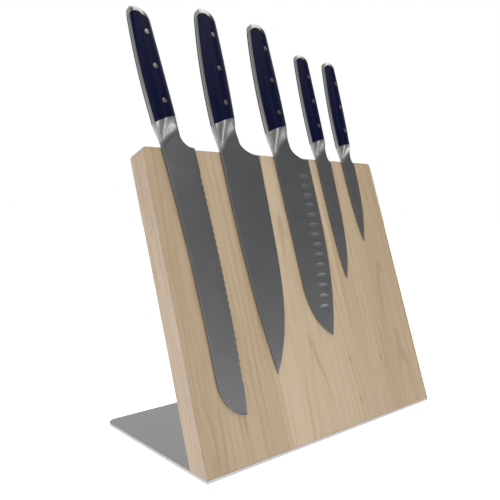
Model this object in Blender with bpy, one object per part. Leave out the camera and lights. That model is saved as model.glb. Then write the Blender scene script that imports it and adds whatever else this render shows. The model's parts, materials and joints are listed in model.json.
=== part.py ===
# Free-standing magnetic knife easel: a leaning maple board with magnets inside it,
# on a flat steel base, carrying five forged knives that lift straight off its face.
# Metres. +X runs along the width, +Y to the back, +Z up. The origin is at the middle
# of the footprint, on the surface that the feet stand on.

import math

import bmesh
import bpy
from mathutils import Matrix, Vector

MM = 0.001
GAP = 0.3 * MM            # clearance between two pieces that touch

# Board and base
BOARD_WIDTH = 292.0 * MM
BOARD_HEIGHT = 264.0 * MM       # along the slope
BOARD_THICK = 24.0 * MM
BOARD_CORNER = 4.0 * MM
LEAN = math.radians(18.7)       # backwards from upright
PLATE_DEPTH = 162.0 * MM
PLATE_THICK = 3.0 * MM
PLATE_CORNER = 10.0 * MM
FOOT_RADIUS = 6.0 * MM
FOOT_HEIGHT = 1.8 * MM
FOOT_INSET = 11.0 * MM          # foot centre to the plate's side
FOOT_FROM_FRONT = 30.0 * MM
FOOT_FROM_BACK = 42.0 * MM

# Magnets, hidden behind a thin face of wood
FACE_SKIN = 3.0 * MM
PANEL_RIM = 20.0 * MM           # wood left beside and above the back panel
PANEL_RIM_BOTTOM = 32.0 * MM
MAGNET_THICK = 5.4 * MM
MAGNET_SPACE = 5.0 * MM
MAGNETS_PER_ROW = 4
STRIP_THICK = 3.0 * MM
STRIP_WIDTH = 26.0 * MM
STRIP_FROM_SIDE = 21.0 * MM     # strip's end to the board's side
UPPER_ROW = 45.0 * MM           # row centres, down from the board's top edge
LOWER_ROW = 140.0 * MM

# Screws
PANEL_SCREW_RADIUS = 1.6 * MM
PANEL_SCREW_HEAD = 3.3 * MM
PANEL_SCREW_BITE = 6.3 * MM      # length that holds in the board
PANEL_SCREW_INSET = 41.0 * MM    # from the board's side
PANEL_SCREW_LOW = 32.0 * MM      # lower pair, above the panel's bottom edge
BASE_SCREW_RADIUS = 2.0 * MM
BASE_SCREW_HEAD = 3.8 * MM
BASE_SCREW_BITE = 19.0 * MM
BASE_SCREW_INSET = 28.0 * MM     # outer pair, from the plate's side
BASE_SCREW_SPACE = 78.0 * MM     # outer screw to inner screw

# Knives. Lengths in millimetres. spine_x is the back of the blade at the heel, from the
# board's left edge. Distances along a knife run down from the board's top edge, and those
# along its handle run up from it. A handle's two outlines each pass through three
# points: at its neck, halfway, and just short of its butt.
HANDLE_NOSE_RATIO = 0.38        # where the butt's highest point lies across the handle
BUTT_STATION = 14.6             # handle's last outline point, short of the butt
CAP_RATIO = 0.75                # end cap's depth at its crown over the handle's half thickness
CAP_LIP = 1.0                   # end cap's depth where its joint meets the handle's outline
BOLSTER_SCOOP = 5.0             # length of the hollow between bolster and blade
BOLSTER_TO_HEEL = 2.2           # from the hollow's end to the heel, along the spine
SIDE_RATIO = 0.50               # handle's edge thickness over its middle thickness
TANG_RATIO = 0.25               # tang's thickness over the handle's middle thickness
EDGE_THICK = 0.35
KNIVES = {
    "bread_knife": dict(
        spine_x=17.3, length=226.0, heel_width=33.5, heel_at=-1.0, choil_width=12.8, choil_drop=11.0,
        spine_bow=7.7, spine_bow_end=165.0, spine_drop=0.0, spine_power=2.0,
        edge_bow=3.0, edge_bow_end=120.0, edge_taper=0.0, edge_belly=5.3, edge_power=5.8,
        nose_width=23.6, nose_length=31.0, nose_short=31.0, blade_thick=2.2,
        handle_length=124.6, handle_half=8.0, neck=24.0,
        spine_line=(15.4, 12.1, 11.7), belly_line=(34.6, 31.6, 28.2),
        joint_spine=19.8, joint_belly=26.6, crescent=20.0, butt_left=9.0, butt_right=12.0,
        rivet_first=37.9, rivet_from_butt=25.1, rivet_across=0.54, rivet_radius=2.4,
        serration_pitch=6.0, serration_depth=0.9, serration_from=22.0, serration_short=24.0),
    "chef_knife": dict(
        spine_x=78.2, length=201.0, heel_width=45.8, heel_at=1.2, choil_width=21.8, choil_drop=13.2,
        spine_bow=0.0, spine_bow_end=100.0, spine_drop=11.8, spine_power=2.7,
        edge_bow=0.0, edge_bow_end=100.0, edge_taper=8.0, edge_belly=26.0, edge_power=5.2,
        nose_width=0.0, blade_thick=2.4,
        handle_length=139.6, handle_half=8.5, neck=25.0,
        spine_line=(77.95, 78.75, 83.85), belly_line=(98.65, 101.05, 101.15),
        joint_spine=24.2, joint_belly=31.6, crescent=25.0, butt_left=9.5, butt_right=13.5,
        rivet_first=44.2, rivet_from_butt=28.0, rivet_across=0.56, rivet_radius=2.4,
        serration_depth=0.0),
    "santoku_knife": dict(
        spine_x=143.4, length=178.6, heel_width=46.9, heel_at=2.0, choil_width=22.6, choil_drop=14.0,
        spine_bow=0.0, spine_bow_end=100.0, spine_drop=0.0, spine_power=2.0,
        edge_bow=0.0, edge_bow_end=100.0, edge_taper=2.0, edge_belly=19.9, edge_power=3.5,
        nose_width=38.0, nose_length=53.95, nose_short=50.8, blade_thick=2.2,
        handle_length=139.0, handle_half=8.5, neck=25.0,
        spine_line=(143.95, 144.05, 148.75), belly_line=(164.15, 165.55, 165.05),
        joint_spine=23.3, joint_belly=30.4, crescent=24.0, butt_left=9.5, butt_right=13.0,
        rivet_first=42.2, rivet_from_butt=28.8, rivet_across=0.56, rivet_radius=2.4,
        serration_depth=0.0),
    "utility_knife": dict(
        spine_x=202.5, length=126.7, heel_width=22.5, heel_at=2.6, choil_width=4.6, choil_drop=8.6,
        spine_bow=0.0, spine_bow_end=100.0, spine_drop=4.5, spine_power=5.0,
        edge_bow=0.0, edge_bow_end=100.0, edge_taper=6.0, edge_belly=12.0, edge_power=4.8,
        nose_width=0.0, blade_thick=1.8,
        handle_length=116.4, handle_half=6.5, neck=20.0,
        spine_line=(203.55, 204.45, 207.95), belly_line=(218.25, 219.85, 220.75),
        joint_spine=16.7, joint_belly=21.5, crescent=16.0, butt_left=7.5, butt_right=9.0,
        rivet_first=34.8, rivet_from_butt=26.4, rivet_across=0.555, rivet_radius=2.2,
        serration_depth=0.0),
    "paring_knife": dict(
        spine_x=242.5, length=89.1, heel_width=20.6, heel_at=2.0, choil_width=4.0, choil_drop=7.0,
        spine_bow=0.0, spine_bow_end=100.0, spine_drop=5.5, spine_power=3.0,
        edge_bow=0.0, edge_bow_end=100.0, edge_taper=3.5, edge_belly=11.6, edge_power=3.1,
        nose_width=0.0, blade_thick=1.8,
        handle_length=115.7, handle_half=6.5, neck=20.0,
        spine_line=(244.25, 246.3, 251.45), belly_line=(257.95, 261.35, 262.85),
        joint_spine=15.4, joint_belly=19.0, crescent=13.8, butt_left=7.5, butt_right=9.0,
        rivet_first=33.4, rivet_from_butt=27.1, rivet_across=0.585, rivet_radius=2.2,
        serration_depth=0.0),
}

# Hollow-ground ovals along the santoku's edge
DIMPLE_FIRST = 20.0
DIMPLE_PITCH = 10.1
DIMPLE_SHORT = 27.0             # last oval to the blade's tip
DIMPLE_INSET = 12.5             # oval centre to the cutting edge
DIMPLE_HALF_LENGTH = 6.0
DIMPLE_HALF_WIDTH = 2.3
DIMPLE_DEPTH = 0.3

for old in list(bpy.data.objects):
    bpy.data.objects.remove(old, do_unlink=True)


def material(name, colour, roughness, metallic):
    mat = bpy.data.materials.new(name)
    mat.use_nodes = True
    shader = mat.node_tree.nodes["Principled BSDF"]
    shader.inputs["Base Color"].default_value = (*colour, 1.0)
    shader.inputs["Roughness"].default_value = roughness
    shader.inputs["Metallic"].default_value = metallic
    return mat


MAPLE = material("maple", (0.52, 0.38, 0.24), 0.45, 0.0)
PANEL_WOOD = material("panel_wood", (0.46, 0.33, 0.20), 0.55, 0.0)
BRUSHED = material("brushed_steel", (0.42, 0.42, 0.43), 0.35, 1.0)
BLADE_STEEL = material("blade_steel", (0.36, 0.36, 0.37), 0.32, 1.0)
POLISHED = material("polished_steel", (0.70, 0.69, 0.67), 0.15, 1.0)
HANDLE_BLUE = material("handle_blue", (0.008, 0.011, 0.040), 0.22, 0.0)
MAGNET = material("magnet", (0.10, 0.10, 0.11), 0.50, 1.0)
STRIP_STEEL = material("strip_steel", (0.50, 0.50, 0.50), 0.40, 1.0)
SCREW_STEEL = material("screw_steel", (0.55, 0.54, 0.52), 0.30, 1.0)
RUBBER = material("rubber", (0.55, 0.55, 0.54), 0.80, 0.0)


def frame_empty(name, matrix, parent=None):
    empty = bpy.data.objects.new(name, None)
    bpy.context.collection.objects.link(empty)
    empty.parent = parent
    empty.matrix_basis = matrix
    return empty


def finish_mesh(name, bm, mat, parent=None, angle=35.0):
    bmesh.ops.recalc_face_normals(bm, faces=bm.faces[:])
    mesh = bpy.data.meshes.new(name)
    bm.to_mesh(mesh)
    bm.free()
    mesh.shade_smooth()
    mesh.set_sharp_from_angle(angle=math.radians(angle))
    mesh.materials.append(mat)
    obj = bpy.data.objects.new(name, mesh)
    bpy.context.collection.objects.link(obj)
    obj.parent = parent
    return obj


def box(name, low, high, mat, parent=None):
    bm = bmesh.new()
    bmesh.ops.create_cube(bm, size=1.0)
    size = Vector(high) - Vector(low)
    bmesh.ops.scale(bm, vec=size, verts=bm.verts)
    bmesh.ops.translate(bm, vec=Vector(low) + size / 2, verts=bm.verts)
    return finish_mesh(name, bm, mat, parent)


def turned(name, profile, mat, parent=None, segments=20):
    # Closed turned piece about +Z from (radius, height) points, first and last on the axis
    bm = bmesh.new()
    verts = [bm.verts.new((radius, 0.0, height)) for radius, height in profile]
    edges = [bm.edges.new(pair) for pair in zip(verts, verts[1:])]
    bmesh.ops.spin(bm, geom=verts + edges, cent=(0, 0, 0), axis=(0, 0, 1), dvec=(0, 0, 0),
                   angle=2 * math.pi, steps=segments, use_duplicate=False)
    bmesh.ops.remove_doubles(bm, verts=bm.verts, dist=1e-6)
    return finish_mesh(name, bm, mat, parent)


def cut(target, cutters):
    for cutter in cutters:
        cutter.hide_render = True
        cutter.display_type = "WIRE"
        boolean = target.modifiers.new("cut", "BOOLEAN")
        boolean.operation = "DIFFERENCE"
        boolean.object = cutter
    bpy.context.view_layer.update()
    evaluated = target.evaluated_get(bpy.context.evaluated_depsgraph_get())
    mesh = bpy.data.meshes.new_from_object(evaluated)
    target.modifiers.clear()
    target.data = mesh
    mesh.shade_smooth()
    mesh.set_sharp_from_angle(angle=math.radians(35))


def discard(cutters):
    for cutter in cutters:
        bpy.data.objects.remove(cutter, do_unlink=True)


# Frame of the leaning board: x across, y up the slope, z out of its face, with its
# origin at the middle of the face's bottom edge, just above the base plate.
PANEL_THICK = BOARD_THICK - FACE_SKIN - MAGNET_THICK - STRIP_THICK - 3 * GAP
PLATE_BOTTOM = FOOT_HEIGHT + GAP
PLATE_TOP = PLATE_BOTTOM + PLATE_THICK
FRONT_Y = -PLATE_DEPTH / 2
board_frame = frame_empty(
    "board_frame",
    Matrix.Translation((0, FRONT_Y, PLATE_TOP + GAP)) @ Matrix.Rotation(math.pi / 2 - LEAN, 4, "X"))


# Board: its bottom is mitred to stand flat on the plate
bm = bmesh.new()
corners = [(0, 0), (BOARD_HEIGHT, 0), (BOARD_HEIGHT, -BOARD_THICK),
           (BOARD_THICK * math.tan(LEAN), -BOARD_THICK)]
verts = [bm.verts.new((-BOARD_WIDTH / 2, y, z)) for y, z in corners]
side = bm.faces.new(verts)
grown = bmesh.ops.extrude_face_region(bm, geom=[side])["geom"]
far_side = [v for v in grown if isinstance(v, bmesh.types.BMVert)]
bmesh.ops.translate(bm, vec=(BOARD_WIDTH, 0, 0), verts=far_side)
top_ends = [e for e in bm.edges if all(abs(v.co.y - BOARD_HEIGHT) < 1e-6 for v in e.verts)
            and abs(e.verts[0].co.x - e.verts[1].co.x) < 1e-6]
bmesh.ops.bevel(bm, geom=top_ends, offset=BOARD_CORNER, offset_type="OFFSET", segments=4,
                affect="EDGES", profile=0.5, material=-1)
board = finish_mesh("board", bm, MAPLE, board_frame)

half_rebate = BOARD_WIDTH / 2 - PANEL_RIM
web = BOARD_THICK - PANEL_THICK - GAP
rebate = box("rebate_cut", (-half_rebate, PANEL_RIM_BOTTOM, -BOARD_THICK - 0.001),
             (half_rebate, BOARD_HEIGHT - PANEL_RIM, -web), MAPLE, board_frame)
strip_half = BOARD_WIDTH / 2 - STRIP_FROM_SIDE
channel_cutters = []
for row, drop in (("upper", UPPER_ROW), ("lower", LOWER_ROW)):
    centre = BOARD_HEIGHT - drop
    channel_cutters.append(box(
        row + "_channel_cut", (-strip_half - GAP, centre - STRIP_WIDTH / 2 - GAP, -web - 0.001),
        (strip_half + GAP, centre + STRIP_WIDTH / 2 + GAP, -FACE_SKIN), MAPLE, board_frame))


def screw_outline(radius, head, length, clearance=0.0):
    # Countersunk screw along -Z with the top of its head at z = 0
    r, h = radius + clearance, head + clearance
    sink = head - radius
    return [(0, 0), (h, 0), (h, -0.0002), (r, -0.0002 - sink), (r, -length + radius - clearance),
            (0.25 * radius, -length - clearance), (0, -length - clearance)]


def countersink(radius, head, length):
    # Its cutter: the same outline with clearance, left open past the surface
    points = screw_outline(radius, head, length, GAP)
    return [(0, 0.001), (points[1][0], 0.001)] + points[2:]


panel_screw_cuts = []
screw_x = BOARD_WIDTH / 2 - PANEL_SCREW_INSET
upper_drop = (UPPER_ROW + LOWER_ROW) / 2
lower_drop = BOARD_HEIGHT - PANEL_RIM_BOTTOM - PANEL_SCREW_LOW
panel_screw_length = PANEL_THICK + PANEL_SCREW_BITE
for name, x, drop in (("upper_left", -screw_x, upper_drop), ("upper_right", screw_x, upper_drop),
                      ("lower_left", -screw_x, lower_drop), ("lower_right", screw_x, lower_drop)):
    seat = frame_empty("panel_screw_axis_" + name,
                       Matrix.Translation((x, BOARD_HEIGHT - drop, -BOARD_THICK))
                       @ Matrix.Rotation(math.pi, 4, "X"), board_frame)
    turned("panel_screw_" + name,
           screw_outline(PANEL_SCREW_RADIUS, PANEL_SCREW_HEAD, panel_screw_length), SCREW_STEEL, seat, 12)
    panel_screw_cuts.append(turned(
        "panel_screw_cut_" + name,
        countersink(PANEL_SCREW_RADIUS, PANEL_SCREW_HEAD, panel_screw_length), MAPLE, seat, 12))

# Base screws stand upright, through the plate into the board's foot
screw_y = FRONT_Y + BOARD_THICK / math.cos(LEAN) / 2
base_screw_cuts = []
base_screw_length = PLATE_THICK + BASE_SCREW_BITE
outer_x = BOARD_WIDTH / 2 - BASE_SCREW_INSET
inner_x = outer_x - BASE_SCREW_SPACE
for name, x in (("far_left", -outer_x), ("left", -inner_x), ("right", inner_x), ("far_right", outer_x)):
    seat = frame_empty("base_screw_axis_" + name,
                       Matrix.Translation((x, screw_y, PLATE_BOTTOM)) @ Matrix.Rotation(math.pi, 4, "X"))
    turned("base_screw_" + name,
           screw_outline(BASE_SCREW_RADIUS, BASE_SCREW_HEAD, base_screw_length), SCREW_STEEL, seat, 12)
    base_screw_cuts.append(turned(
        "base_screw_cut_" + name,
        countersink(BASE_SCREW_RADIUS, BASE_SCREW_HEAD, base_screw_length), MAPLE, seat, 12))

cut(board, [rebate] + channel_cutters + panel_screw_cuts + base_screw_cuts)

panel = box("back_panel", (-half_rebate + GAP, PANEL_RIM_BOTTOM + GAP, -BOARD_THICK),
            (half_rebate - GAP, BOARD_HEIGHT - PANEL_RIM - GAP, -web - GAP), PANEL_WOOD, board_frame)
cut(panel, panel_screw_cuts)
discard([rebate] + channel_cutters + panel_screw_cuts)

magnet_front = -FACE_SKIN - GAP
strip_front = magnet_front - MAGNET_THICK - GAP
magnet_length = (2 * strip_half - (MAGNETS_PER_ROW - 1) * MAGNET_SPACE) / MAGNETS_PER_ROW
for row, drop in (("upper", UPPER_ROW), ("lower", LOWER_ROW)):
    centre = BOARD_HEIGHT - drop
    box(row + "_backing_strip", (-strip_half, centre - STRIP_WIDTH / 2, strip_front - STRIP_THICK),
        (strip_half, centre + STRIP_WIDTH / 2, strip_front), STRIP_STEEL, board_frame)
    for index in range(MAGNETS_PER_ROW):
        x = (index - (MAGNETS_PER_ROW - 1) / 2) * (magnet_length + MAGNET_SPACE)
        box("%s_magnet_%d" % (row, index + 1),
            (x - magnet_length / 2, centre - STRIP_WIDTH / 2, magnet_front - MAGNET_THICK),
            (x + magnet_length / 2, centre + STRIP_WIDTH / 2, magnet_front), MAGNET, board_frame)

# Base plate with rounded back corners
bm = bmesh.new()
bmesh.ops.create_cube(bm, size=1.0)
bmesh.ops.scale(bm, vec=(BOARD_WIDTH, PLATE_DEPTH, PLATE_THICK), verts=bm.verts)
bmesh.ops.translate(bm, vec=(0, 0, PLATE_BOTTOM + PLATE_THICK / 2), verts=bm.verts)
back_edges = [e for e in bm.edges if all(v.co.y > 0 for v in e.verts)
              and abs(e.verts[0].co.z - e.verts[1].co.z) > PLATE_THICK / 2]
bmesh.ops.bevel(bm, geom=back_edges, offset=PLATE_CORNER, offset_type="OFFSET", segments=8,
                affect="EDGES", profile=0.5, material=-1)
plate = finish_mesh("base_plate", bm, BRUSHED)
cut(plate, base_screw_cuts)
discard(base_screw_cuts)

for side_name, sign in (("left", -1), ("right", 1)):
    x = sign * (BOARD_WIDTH / 2 - FOOT_INSET)
    for end, y in (("front", FRONT_Y + FOOT_FROM_FRONT), ("back", -FRONT_Y - FOOT_FROM_BACK)):
        foot = turned("foot_%s_%s" % (end, side_name),
                      [(0, 0), (FOOT_RADIUS * 0.9, 0), (FOOT_RADIUS, FOOT_HEIGHT * 0.4),
                       (FOOT_RADIUS, FOOT_HEIGHT), (0, FOOT_HEIGHT)], RUBBER, None, 20)
        foot.location = (x, y, 0)


def handle_line(k, values, t):
    # Quadratic through the neck, middle and butt values
    start, end = k["neck"], k["handle_length"] - BUTT_STATION
    middle = (start + end) / 2
    a = (values[1] - values[0]) / (middle - start)
    b = (values[2] - values[1]) / (end - middle)
    return values[0] + a * (t - start) + (b - a) / (end - start) * (t - start) * (t - middle)


def smooth(t):
    t = min(max(t, 0.0), 1.0)
    return t * t * (3 - 2 * t)


def blade_spine(k, s):
    u = min(max(s / k["length"], 0.0), 1.0)
    x = k["spine_x"] + k["spine_drop"] * u ** k["spine_power"]
    x += k["spine_bow"] * (1 - (1 - min(max(s, 0.0) / k["spine_bow_end"], 1.0)) ** 2)
    if k["nose_width"]:
        past = s - k["length"] + k["nose_short"]
        d = min(max(past / k["nose_length"], 0.0), 1.0)
        x += k["nose_width"] * (1 - math.sqrt(1 - d * d))
    return x


def blade_edge(k, s):
    u = min(max(s / k["length"], 0.0), 1.0)
    x = k["spine_x"] + k["heel_width"] - k["edge_taper"] * u - k["edge_belly"] * u ** k["edge_power"]
    x += k["edge_bow"] * (1 - (1 - min(max(s, 0.0) / k["edge_bow_end"], 1.0)) ** 2)
    return x


def spine_line(k, s):
    neck = -k["neck"]
    if s <= neck:
        return handle_line(k, k["spine_line"], -s)
    return k["spine_line"][0] + (blade_spine(k, s) - k["spine_line"][0]) * smooth((s - neck) / -neck)


def belly_line(k, s):
    # Handle's lower outline, then the hollow under the bolster, then the cutting edge
    heel_x = k["spine_x"] + k["heel_width"]
    choil_x = heel_x - k["choil_width"]
    choil_at = k["heel_at"] - k["choil_drop"]
    neck = -k["neck"]
    if s >= k["heel_at"]:
        return blade_edge(k, s)
    if s >= choil_at:
        d = (s - choil_at) / k["choil_drop"]
        return heel_x - k["choil_width"] * math.sqrt(max(1 - d * d, 0.0))
    if s <= neck:
        return handle_line(k, k["belly_line"], -s)
    return k["belly_line"][0] + (choil_x - k["belly_line"][0]) * smooth((s - neck) / (choil_at - neck))


def section(a):
    # Half thickness of the handle across its width, as a share of its middle
    crown = math.sqrt(max(1 - abs(2 * a - 1) ** 2.6, 0.0))
    return SIDE_RATIO + (1 - SIDE_RATIO) * crown


def butt(k, a):
    if a < HANDLE_NOSE_RATIO:
        d, r = (HANDLE_NOSE_RATIO - a) / HANDLE_NOSE_RATIO, k["butt_left"]
    else:
        d, r = (a - HANDLE_NOSE_RATIO) / (1 - HANDLE_NOSE_RATIO), k["butt_right"]
    return -k["handle_length"] + r * (1 - math.sqrt(max(1 - d * d, 0.0)))


def cap_joint(k, a, gaps=0.0):
    # Arched joint between the end cap and the scales, moved down by whole gaps
    crown = CAP_RATIO * k["handle_half"]
    if a < HANDLE_NOSE_RATIO:
        run, sag = HANDLE_NOSE_RATIO, k["butt_left"] + CAP_LIP - crown
    else:
        run, sag = 1 - HANDLE_NOSE_RATIO, k["butt_right"] + CAP_LIP - crown
    d = abs(a - HANDLE_NOSE_RATIO) / run
    slope = 3 * sag * d * d / (run * 2.6 * k["handle_half"])
    offset = gaps * GAP / MM * math.sqrt(1 + slope * slope)
    return -k["handle_length"] + crown + sag * d ** 3 + offset


def scale_joint(k, a, gaps=0.0):
    # Slanted joint between the scales and the bolster
    return -(k["joint_spine"] + (k["joint_belly"] - k["joint_spine"]) * a) - 1.1 * gaps * GAP / MM


def crescent(k, a):
    near_spine = min(k["heel_at"], 1.2) - BOLSTER_TO_HEEL
    return near_spine - (k["crescent"] + near_spine) * (1 - (1 - a) ** 2)


def sheet(name, columns, rows, place, mat, parent):
    # A grid whose two sides are laid out by place(across, row, side), closed round its rim
    bm = bmesh.new()
    bmesh.ops.create_grid(bm, x_segments=columns, y_segments=rows, size=0.5)
    grown = bmesh.ops.extrude_face_region(bm, geom=bm.faces[:])["geom"]
    second = {v for v in grown if isinstance(v, bmesh.types.BMVert)}
    for v in bm.verts:
        across = (1 - math.cos(math.pi * (v.co.x + 0.5))) / 2
        row = round((v.co.y + 0.5) * rows)
        x, s, h = place(across, row, v in second)
        v.co = (x * MM - BOARD_WIDTH / 2, BOARD_HEIGHT - s * MM, h * MM)
    return finish_mesh(name, bm, mat, parent)


def across_point(k, a, s):
    left, right = spine_line(k, s), max(belly_line(k, s), spine_line(k, s) + 0.6)
    return left + (right - left) * a


def build_knife(name, k):
    middle = GAP / MM + k["blade_thick"] / 2      # height of the knife's middle plane
    grip_x = (k["spine_line"][1] + k["belly_line"][1]) / 2 * MM - BOARD_WIDTH / 2
    axis = frame_empty(name + "_axis", Matrix.Translation((grip_x, BOARD_HEIGHT, middle * MM)), board_frame)
    tang_half = TANG_RATIO * k["handle_half"]
    columns = 6

    # Blade, bolster and tang, forged in one
    rows = []

    def row(shape, half):
        rows.append((shape, half))

    def handle_half(a):
        return k["handle_half"] * section(a)

    def blade_half(a, s):
        taper = 1 - 0.45 * smooth(s / k["length"])
        flat = k["blade_thick"] / 2 * taper * (1 - a) + EDGE_THICK / 2 * a
        return flat if a < 0.999 else EDGE_THICK / 4

    for t in (0.0, 0.33, 0.67, 1.0):
        row(lambda a, t=t: cap_joint(k, a, 1) * (1 - t) + scale_joint(k, a) * t, lambda a, s: tang_half)
    row(lambda a: scale_joint(k, a) + 0.02, lambda a, s: handle_half(a))
    row(lambda a: crescent(k, a) - BOLSTER_SCOOP, lambda a, s: handle_half(a))
    for t in (0.15, 0.4, 0.7, 1.0):
        fall = 1 - math.sqrt(1 - (1 - t) ** 2)
        row(lambda a, t=t: crescent(k, a) - BOLSTER_SCOOP * (1 - t),
            lambda a, s, f=fall: blade_half(a, s) + (handle_half(a) - blade_half(a, s)) * f)
    low = crescent(k, 1.0)
    choil_at = k["heel_at"] - k["choil_drop"]
    for degrees in (0, 25, 50, 72, 90):
        s_edge = choil_at + k["choil_drop"] * math.sin(math.radians(degrees))
        t = (s_edge - low) / (k["heel_at"] - low)
        row(lambda a, t=t: crescent(k, a) + (k["heel_at"] - crescent(k, a)) * t, blade_half)
    teeth = k["serration_depth"] > 0
    teeth_end = k["length"] - k.get("serration_short", 0.0)
    start, end = k["heel_at"], k["length"] - 0.05
    stops = []
    if teeth:
        count = round((teeth_end - k["serration_from"]) / k["serration_pitch"] * 2)
        step = k["serration_pitch"] / 2
        stops = [start + 8.0] + [k["serration_from"] + step * i for i in range(count + 1)]
        stops += [end - (end - stops[-1]) * (1 - t) ** 1.8 for t in (0.2, 0.4, 0.6, 0.75, 0.88, 1.0)]
    else:
        count = 13
        stops = [end - (end - start) * (1 - i / count) ** 1.7 for i in range(1, count + 1)]
    for s_row in stops:
        row(lambda a, s_row=s_row: s_row, blade_half)

    def place_blade(a, index, second):
        shape, half = rows[index]
        s = shape(a)
        x = across_point(k, a, s)
        if teeth and a > 0.999 and k["serration_from"] <= s <= teeth_end + 1.0:
            tooth = round((s - k["serration_from"]) / (k["serration_pitch"] / 2))
            x -= k["serration_depth"] * (tooth % 2)
        side = -1 if second else 1
        return x, s, middle + side * half(a, s)

    blade = sheet(name + "_blade", columns, len(rows) - 1, place_blade, BLADE_STEEL, board_frame)

    # Scales on both sides of the tang
    scales = []
    for side_name, sign in (("near", 1), ("far", -1)):
        def place_scale(a, index, second, sign=sign):
            t = index / 6
            s = cap_joint(k, a, 1) * (1 - t) + scale_joint(k, a, 1) * t
            height = handle_half(a) if second else tang_half + GAP / MM
            return across_point(k, a, s), s, middle + sign * height
        scale_name = "%s_%s_scale" % (name, side_name)
        scales.append(sheet(scale_name, columns, 6, place_scale, HANDLE_BLUE, board_frame))

    # End cap
    def place_cap(a, index, second):
        t = (0.0, 0.1, 0.3, 0.6, 1.0)[index]
        s = butt(k, a) * (1 - t) + cap_joint(k, a) * t
        rounding = SIDE_RATIO + (1 - SIDE_RATIO) * math.sqrt(1 - (1 - min(t / 0.6, 1.0)) ** 2)
        side = -1 if second else 1
        return across_point(k, a, s), s, middle + side * handle_half(a) * rounding

    sheet(name + "_end_cap", columns, 4, place_cap, POLISHED, board_frame)

    # Rivets, each through both scales and the tang
    cutters = []
    rivet_last = k["handle_length"] - k["rivet_from_butt"]
    for index in range(3):
        s = -(k["rivet_first"] + (rivet_last - k["rivet_first"]) / 2 * index)
        x = across_point(k, k["rivet_across"], s)
        reach = (k["handle_half"] * section(k["rivet_across"]) + 0.02) * MM
        radius = k["rivet_radius"] * MM
        seat = frame_empty("%s_rivet_axis_%d" % (name, index + 1), Matrix.Translation(
            (x * MM - BOARD_WIDTH / 2, BOARD_HEIGHT - s * MM, middle * MM)), board_frame)
        turned("%s_rivet_%d" % (name, index + 1),
               [(0, -reach), (radius, -reach), (radius, reach), (0, reach)], POLISHED, seat, 16)
        cutters.append(turned("%s_rivet_cut_%d" % (name, index + 1),
                              [(0, -2 * reach), (radius + GAP, -2 * reach), (radius + GAP, 2 * reach),
                               (0, 2 * reach)], POLISHED, seat, 16))
    for target in [blade] + scales:
        cut(target, cutters)
    discard(cutters)

    if name == "santoku_knife":
        dimple_cuts = []
        dimples = int((k["length"] - DIMPLE_SHORT - DIMPLE_FIRST) / DIMPLE_PITCH) + 1
        for index in range(dimples):
            s = DIMPLE_FIRST + DIMPLE_PITCH * index
            x = blade_edge(k, s) - DIMPLE_INSET
            share = (x - blade_spine(k, s)) / (blade_edge(k, s) - blade_spine(k, s))
            surface = blade_half(share, s)
            rise = 4.0
            stretch = math.sqrt(1 - (1 - DIMPLE_DEPTH / rise) ** 2)
            bm = bmesh.new()
            bmesh.ops.create_uvsphere(bm, u_segments=12, v_segments=16, radius=1.0)
            bmesh.ops.scale(bm, vec=(DIMPLE_HALF_LENGTH * MM / stretch, DIMPLE_HALF_WIDTH * MM / stretch,
                                     rise * MM), verts=bm.verts)
            bmesh.ops.translate(bm, vec=(
                x * MM - BOARD_WIDTH / 2, BOARD_HEIGHT - s * MM,
                (middle + surface - DIMPLE_DEPTH + rise) * MM), verts=bm.verts)
            dimple_cuts.append(finish_mesh("dimple_cut_%d" % index, bm, BLADE_STEEL, board_frame))
        cut(blade, dimple_cuts)
        discard(dimple_cuts)

    # Everything on this knife hangs on its own slide axis
    bpy.context.view_layer.update()
    for obj in list(bpy.data.objects):
        if obj.name.startswith(name + "_") and obj != axis and obj.parent == board_frame:
            obj.parent = axis
            obj.matrix_parent_inverse = axis.matrix_basis.inverted()


for knife_name, sizes in KNIVES.items():
    build_knife(knife_name, sizes)
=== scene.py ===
# Leaning maple knife easel on a steel base, with five forged knives held on its face.
# Finished pieces and finishes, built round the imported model.
import json
import math

import bmesh
import bpy
from mathutils import Matrix, Vector


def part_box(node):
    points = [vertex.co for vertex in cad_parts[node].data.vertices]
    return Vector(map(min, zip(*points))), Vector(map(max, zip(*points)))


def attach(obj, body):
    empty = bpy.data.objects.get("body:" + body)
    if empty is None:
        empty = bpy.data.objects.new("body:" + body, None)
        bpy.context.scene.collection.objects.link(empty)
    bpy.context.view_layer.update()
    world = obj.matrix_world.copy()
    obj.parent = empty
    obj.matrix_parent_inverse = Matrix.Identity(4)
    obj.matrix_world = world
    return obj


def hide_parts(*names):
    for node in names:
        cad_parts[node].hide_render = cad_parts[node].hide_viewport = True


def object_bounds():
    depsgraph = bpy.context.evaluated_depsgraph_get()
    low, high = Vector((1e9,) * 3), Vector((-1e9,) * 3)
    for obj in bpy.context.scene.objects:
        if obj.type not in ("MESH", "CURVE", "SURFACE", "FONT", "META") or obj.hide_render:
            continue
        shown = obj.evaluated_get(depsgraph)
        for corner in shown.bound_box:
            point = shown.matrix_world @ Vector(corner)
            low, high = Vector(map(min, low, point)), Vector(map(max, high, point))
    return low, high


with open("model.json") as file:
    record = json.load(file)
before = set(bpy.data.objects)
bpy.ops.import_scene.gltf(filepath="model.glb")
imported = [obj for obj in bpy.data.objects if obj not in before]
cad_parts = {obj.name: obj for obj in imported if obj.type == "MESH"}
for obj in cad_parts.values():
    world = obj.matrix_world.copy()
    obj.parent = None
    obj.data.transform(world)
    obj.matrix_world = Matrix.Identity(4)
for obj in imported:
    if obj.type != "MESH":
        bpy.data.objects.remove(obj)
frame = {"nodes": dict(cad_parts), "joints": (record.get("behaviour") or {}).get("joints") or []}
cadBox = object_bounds()
mm = 0.001

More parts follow.
